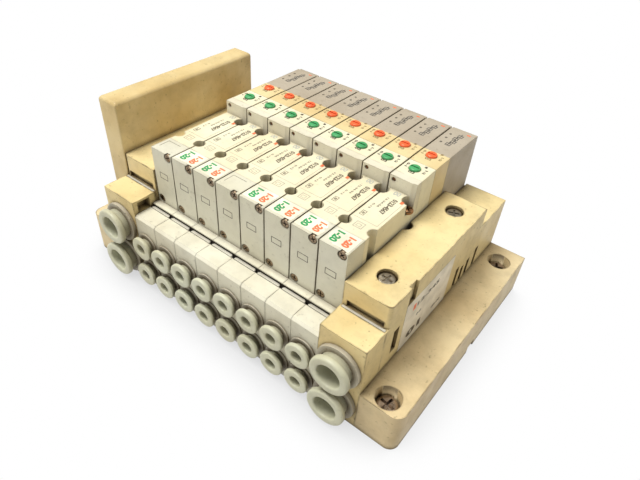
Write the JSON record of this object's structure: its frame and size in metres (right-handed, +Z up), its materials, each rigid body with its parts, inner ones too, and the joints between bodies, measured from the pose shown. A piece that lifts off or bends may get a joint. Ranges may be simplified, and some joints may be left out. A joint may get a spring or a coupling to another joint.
{
  "type": "pneumatic valve island",
  "caption": "Valve island: valves side by side on a ported base with push-in tube fittings, manual override buttons, end blocks and mounting flanges.",
  "frame": {"origin": "on the standing surface, at the middle of the object's plan", "axes": "+X along the row of valves to the end without the wiring housing, +Y from the tube ports to the coil covers, +Z up"},
  "size_m": [0.145, 0.0988, 0.0649],
  "materials": {
    "valve_plastic": "satin cream",
    "cap_plastic": "satin cool grey white",
    "segment_plastic": "satin off white",
    "coil_plastic": "fine matt warm grey",
    "yellowed_plastic": "satin cream, yellowed with age",
    "fitting_plastic": "smooth pale lilac white",
    "ring_plastic": "satin grey green",
    "green_plastic": "gloss green",
    "orange_plastic": "gloss orange",
    "clip_plastic": "satin off white",
    "screw_steel": "nickel plated"
  },
  "bodies": {
    "base": {"valve_body_1": "valve_plastic", "valve_body_2": "valve_plastic", "valve_body_3": "valve_plastic", "valve_body_4": "valve_plastic", "valve_body_5": "valve_plastic", "valve_body_6": "valve_plastic", "valve_body_7": "valve_plastic", "valve_body_8": "valve_plastic", "base_segments": "segment_plastic", "front_caps": "cap_plastic", "pilot_adapters": "valve_plastic", "override_housings_a": "valve_plastic", "override_housings_b": "yellowed_plastic", "coil_covers": "coil_plastic", "small_fittings": "fitting_plastic", "large_fittings": "fitting_plastic", "retaining_clips": "clip_plastic", "end_block_left": "yellowed_plastic", "end_block_right": "yellowed_plastic", "mounting_flange_left": "yellowed_plastic", "mounting_flange_right": "yellowed_plastic", "wiring_housing": "yellowed_plastic", "block_screws": "screw_steel", "mounting_screws": "screw_steel"},
    "small_release_ring_1_lower": {"small_release_ring_1_lower": "ring_plastic"},
    "small_release_ring_1_upper": {"small_release_ring_1_upper": "ring_plastic"},
    "small_release_ring_2_lower": {"small_release_ring_2_lower": "ring_plastic"},
    "small_release_ring_2_upper": {"small_release_ring_2_upper": "ring_plastic"},
    "small_release_ring_3_lower": {"small_release_ring_3_lower": "ring_plastic"},
    "small_release_ring_3_upper": {"small_release_ring_3_upper": "ring_plastic"},
    "small_release_ring_4_lower": {"small_release_ring_4_lower": "ring_plastic"},
    "small_release_ring_4_upper": {"small_release_ring_4_upper": "ring_plastic"},
    "small_release_ring_5_lower": {"small_release_ring_5_lower": "ring_plastic"},
    "small_release_ring_5_upper": {"small_release_ring_5_upper": "ring_plastic"},
    "small_release_ring_6_lower": {"small_release_ring_6_lower": "ring_plastic"},
    "small_release_ring_6_upper": {"small_release_ring_6_upper": "ring_plastic"},
    "small_release_ring_7_lower": {"small_release_ring_7_lower": "ring_plastic"},
    "small_release_ring_7_upper": {"small_release_ring_7_upper": "ring_plastic"},
    "small_release_ring_8_lower": {"small_release_ring_8_lower": "ring_plastic"},
    "small_release_ring_8_upper": {"small_release_ring_8_upper": "ring_plastic"},
    "large_release_ring_left_lower": {"large_release_ring_left_lower": "ring_plastic"},
    "large_release_ring_left_upper": {"large_release_ring_left_upper": "ring_plastic"},
    "large_release_ring_right_lower": {"large_release_ring_right_lower": "ring_plastic"},
    "large_release_ring_right_upper": {"large_release_ring_right_upper": "ring_plastic"},
    "override_button_1_a": {"override_button_1_a": "green_plastic"},
    "override_button_1_b": {"override_button_1_b": "orange_plastic"},
    "override_button_2_a": {"override_button_2_a": "green_plastic"},
    "override_button_2_b": {"override_button_2_b": "orange_plastic"},
    "override_button_3_a": {"override_button_3_a": "green_plastic"},
    "override_button_3_b": {"override_button_3_b": "orange_plastic"},
    "override_button_4_a": {"override_button_4_a": "green_plastic"},
    "override_button_4_b": {"override_button_4_b": "orange_plastic"},
    "override_button_5_a": {"override_button_5_a": "green_plastic"},
    "override_button_5_b": {"override_button_5_b": "orange_plastic"},
    "override_button_6_a": {"override_button_6_a": "green_plastic"},
    "override_button_6_b": {"override_button_6_b": "orange_plastic"},
    "override_button_7_a": {"override_button_7_a": "green_plastic"},
    "override_button_7_b": {"override_button_7_b": "orange_plastic"},
    "override_button_8_a": {"override_button_8_a": "green_plastic"},
    "override_button_8_b": {"override_button_8_b": "orange_plastic"}
  },
  "joints": [
    {"name": "small_release_ring_1_lower_push", "type": "slide", "parent": "base", "child": "small_release_ring_1_lower", "axis": [0, 1, 0], "range_m": [0, 0.001], "stiffness_N_per_m": 400},
    {"name": "small_release_ring_1_upper_push", "type": "slide", "parent": "base", "child": "small_release_ring_1_upper", "axis": [0, 1, 0], "range_m": [0, 0.001], "stiffness_N_per_m": 400},
    {"name": "small_release_ring_2_lower_push", "type": "slide", "parent": "base", "child": "small_release_ring_2_lower", "axis": [0, 1, 0], "range_m": [0, 0.001], "stiffness_N_per_m": 400},
    {"name": "small_release_ring_2_upper_push", "type": "slide", "parent": "base", "child": "small_release_ring_2_upper", "axis": [0, 1, 0], "range_m": [0, 0.001], "stiffness_N_per_m": 400},
    {"name": "small_release_ring_3_lower_push", "type": "slide", "parent": "base", "child": "small_release_ring_3_lower", "axis": [0, 1, 0], "range_m": [0, 0.001], "stiffness_N_per_m": 400},
    {"name": "small_release_ring_3_upper_push", "type": "slide", "parent": "base", "child": "small_release_ring_3_upper", "axis": [0, 1, 0], "range_m": [0, 0.001], "stiffness_N_per_m": 400},
    {"name": "small_release_ring_4_lower_push", "type": "slide", "parent": "base", "child": "small_release_ring_4_lower", "axis": [0, 1, 0], "range_m": [0, 0.001], "stiffness_N_per_m": 400},
    {"name": "small_release_ring_4_upper_push", "type": "slide", "parent": "base", "child": "small_release_ring_4_upper", "axis": [0, 1, 0], "range_m": [0, 0.001], "stiffness_N_per_m": 400},
    {"name": "small_release_ring_5_lower_push", "type": "slide", "parent": "base", "child": "small_release_ring_5_lower", "axis": [0, 1, 0], "range_m": [0, 0.001], "stiffness_N_per_m": 400},
    {"name": "small_release_ring_5_upper_push", "type": "slide", "parent": "base", "child": "small_release_ring_5_upper", "axis": [0, 1, 0], "range_m": [0, 0.001], "stiffness_N_per_m": 400},
    {"name": "small_release_ring_6_lower_push", "type": "slide", "parent": "base", "child": "small_release_ring_6_lower", "axis": [0, 1, 0], "range_m": [0, 0.001], "stiffness_N_per_m": 400},
    {"name": "small_release_ring_6_upper_push", "type": "slide", "parent": "base", "child": "small_release_ring_6_upper", "axis": [0, 1, 0], "range_m": [0, 0.001], "stiffness_N_per_m": 400},
    {"name": "small_release_ring_7_lower_push", "type": "slide", "parent": "base", "child": "small_release_ring_7_lower", "axis": [0, 1, 0], "range_m": [0, 0.001], "stiffness_N_per_m": 400},
    {"name": "small_release_ring_7_upper_push", "type": "slide", "parent": "base", "child": "small_release_ring_7_upper", "axis": [0, 1, 0], "range_m": [0, 0.001], "stiffness_N_per_m": 400},
    {"name": "small_release_ring_8_lower_push", "type": "slide", "parent": "base", "child": "small_release_ring_8_lower", "axis": [0, 1, 0], "range_m": [0, 0.001], "stiffness_N_per_m": 400},
    {"name": "small_release_ring_8_upper_push", "type": "slide", "parent": "base", "child": "small_release_ring_8_upper", "axis": [0, 1, 0], "range_m": [0, 0.001], "stiffness_N_per_m": 400},
    {"name": "large_release_ring_left_lower_push", "type": "slide", "parent": "base", "child": "large_release_ring_left_lower", "axis": [0, 1, 0], "range_m": [0, 0.0014], "stiffness_N_per_m": 500},
    {"name": "large_release_ring_left_upper_push", "type": "slide", "parent": "base", "child": "large_release_ring_left_upper", "axis": [0, 1, 0], "range_m": [0, 0.0014], "stiffness_N_per_m": 500},
    {"name": "large_release_ring_right_lower_push", "type": "slide", "parent": "base", "child": "large_release_ring_right_lower", "axis": [0, 1, 0], "range_m": [0, 0.0014], "stiffness_N_per_m": 500},
    {"name": "large_release_ring_right_upper_push", "type": "slide", "parent": "base", "child": "large_release_ring_right_upper", "axis": [0, 1, 0], "range_m": [0, 0.0014], "stiffness_N_per_m": 500},
    {"name": "override_button_1_a_push", "type": "slide", "parent": "base", "child": "override_button_1_a", "axis": [0, 0, -1], "range_m": [0, 0.001], "stiffness_N_per_m": 800},
    {"name": "override_button_1_b_push", "type": "slide", "parent": "base", "child": "override_button_1_b", "axis": [0, 0, -1], "range_m": [0, 0.001], "stiffness_N_per_m": 800},
    {"name": "override_button_2_a_push", "type": "slide", "parent": "base", "child": "override_button_2_a", "axis": [0, 0, -1], "range_m": [0, 0.001], "stiffness_N_per_m": 800},
    {"name": "override_button_2_b_push", "type": "slide", "parent": "base", "child": "override_button_2_b", "axis": [0, 0, -1], "range_m": [0, 0.001], "stiffness_N_per_m": 800},
    {"name": "override_button_3_a_push", "type": "slide", "parent": "base", "child": "override_button_3_a", "axis": [0, 0, -1], "range_m": [0, 0.001], "stiffness_N_per_m": 800},
    {"name": "override_button_3_b_push", "type": "slide", "parent": "base", "child": "override_button_3_b", "axis": [0, 0, -1], "range_m": [0, 0.001], "stiffness_N_per_m": 800},
    {"name": "override_button_4_a_push", "type": "slide", "parent": "base", "child": "override_button_4_a", "axis": [0, 0, -1], "range_m": [0, 0.001], "stiffness_N_per_m": 800},
    {"name": "override_button_4_b_push", "type": "slide", "parent": "base", "child": "override_button_4_b", "axis": [0, 0, -1], "range_m": [0, 0.001], "stiffness_N_per_m": 800},
    {"name": "override_button_5_a_push", "type": "slide", "parent": "base", "child": "override_button_5_a", "axis": [0, 0, -1], "range_m": [0, 0.001], "stiffness_N_per_m": 800},
    {"name": "override_button_5_b_push", "type": "slide", "parent": "base", "child": "override_button_5_b", "axis": [0, 0, -1], "range_m": [0, 0.001], "stiffness_N_per_m": 800},
    {"name": "override_button_6_a_push", "type": "slide", "parent": "base", "child": "override_button_6_a", "axis": [0, 0, -1], "range_m": [0, 0.001], "stiffness_N_per_m": 800},
    {"name": "override_button_6_b_push", "type": "slide", "parent": "base", "child": "override_button_6_b", "axis": [0, 0, -1], "range_m": [0, 0.001], "stiffness_N_per_m": 800},
    {"name": "override_button_7_a_push", "type": "slide", "parent": "base", "child": "override_button_7_a", "axis": [0, 0, -1], "range_m": [0, 0.001], "stiffness_N_per_m": 800},
    {"name": "override_button_7_b_push", "type": "slide", "parent": "base", "child": "override_button_7_b", "axis": [0, 0, -1], "range_m": [0, 0.001], "stiffness_N_per_m": 800},
    {"name": "override_button_8_a_push", "type": "slide", "parent": "base", "child": "override_button_8_a", "axis": [0, 0, -1], "range_m": [0, 0.001], "stiffness_N_per_m": 800},
    {"name": "override_button_8_b_push", "type": "slide", "parent": "base", "child": "override_button_8_b", "axis": [0, 0, -1], "range_m": [0, 0.001], "stiffness_N_per_m": 800}
  ]
}
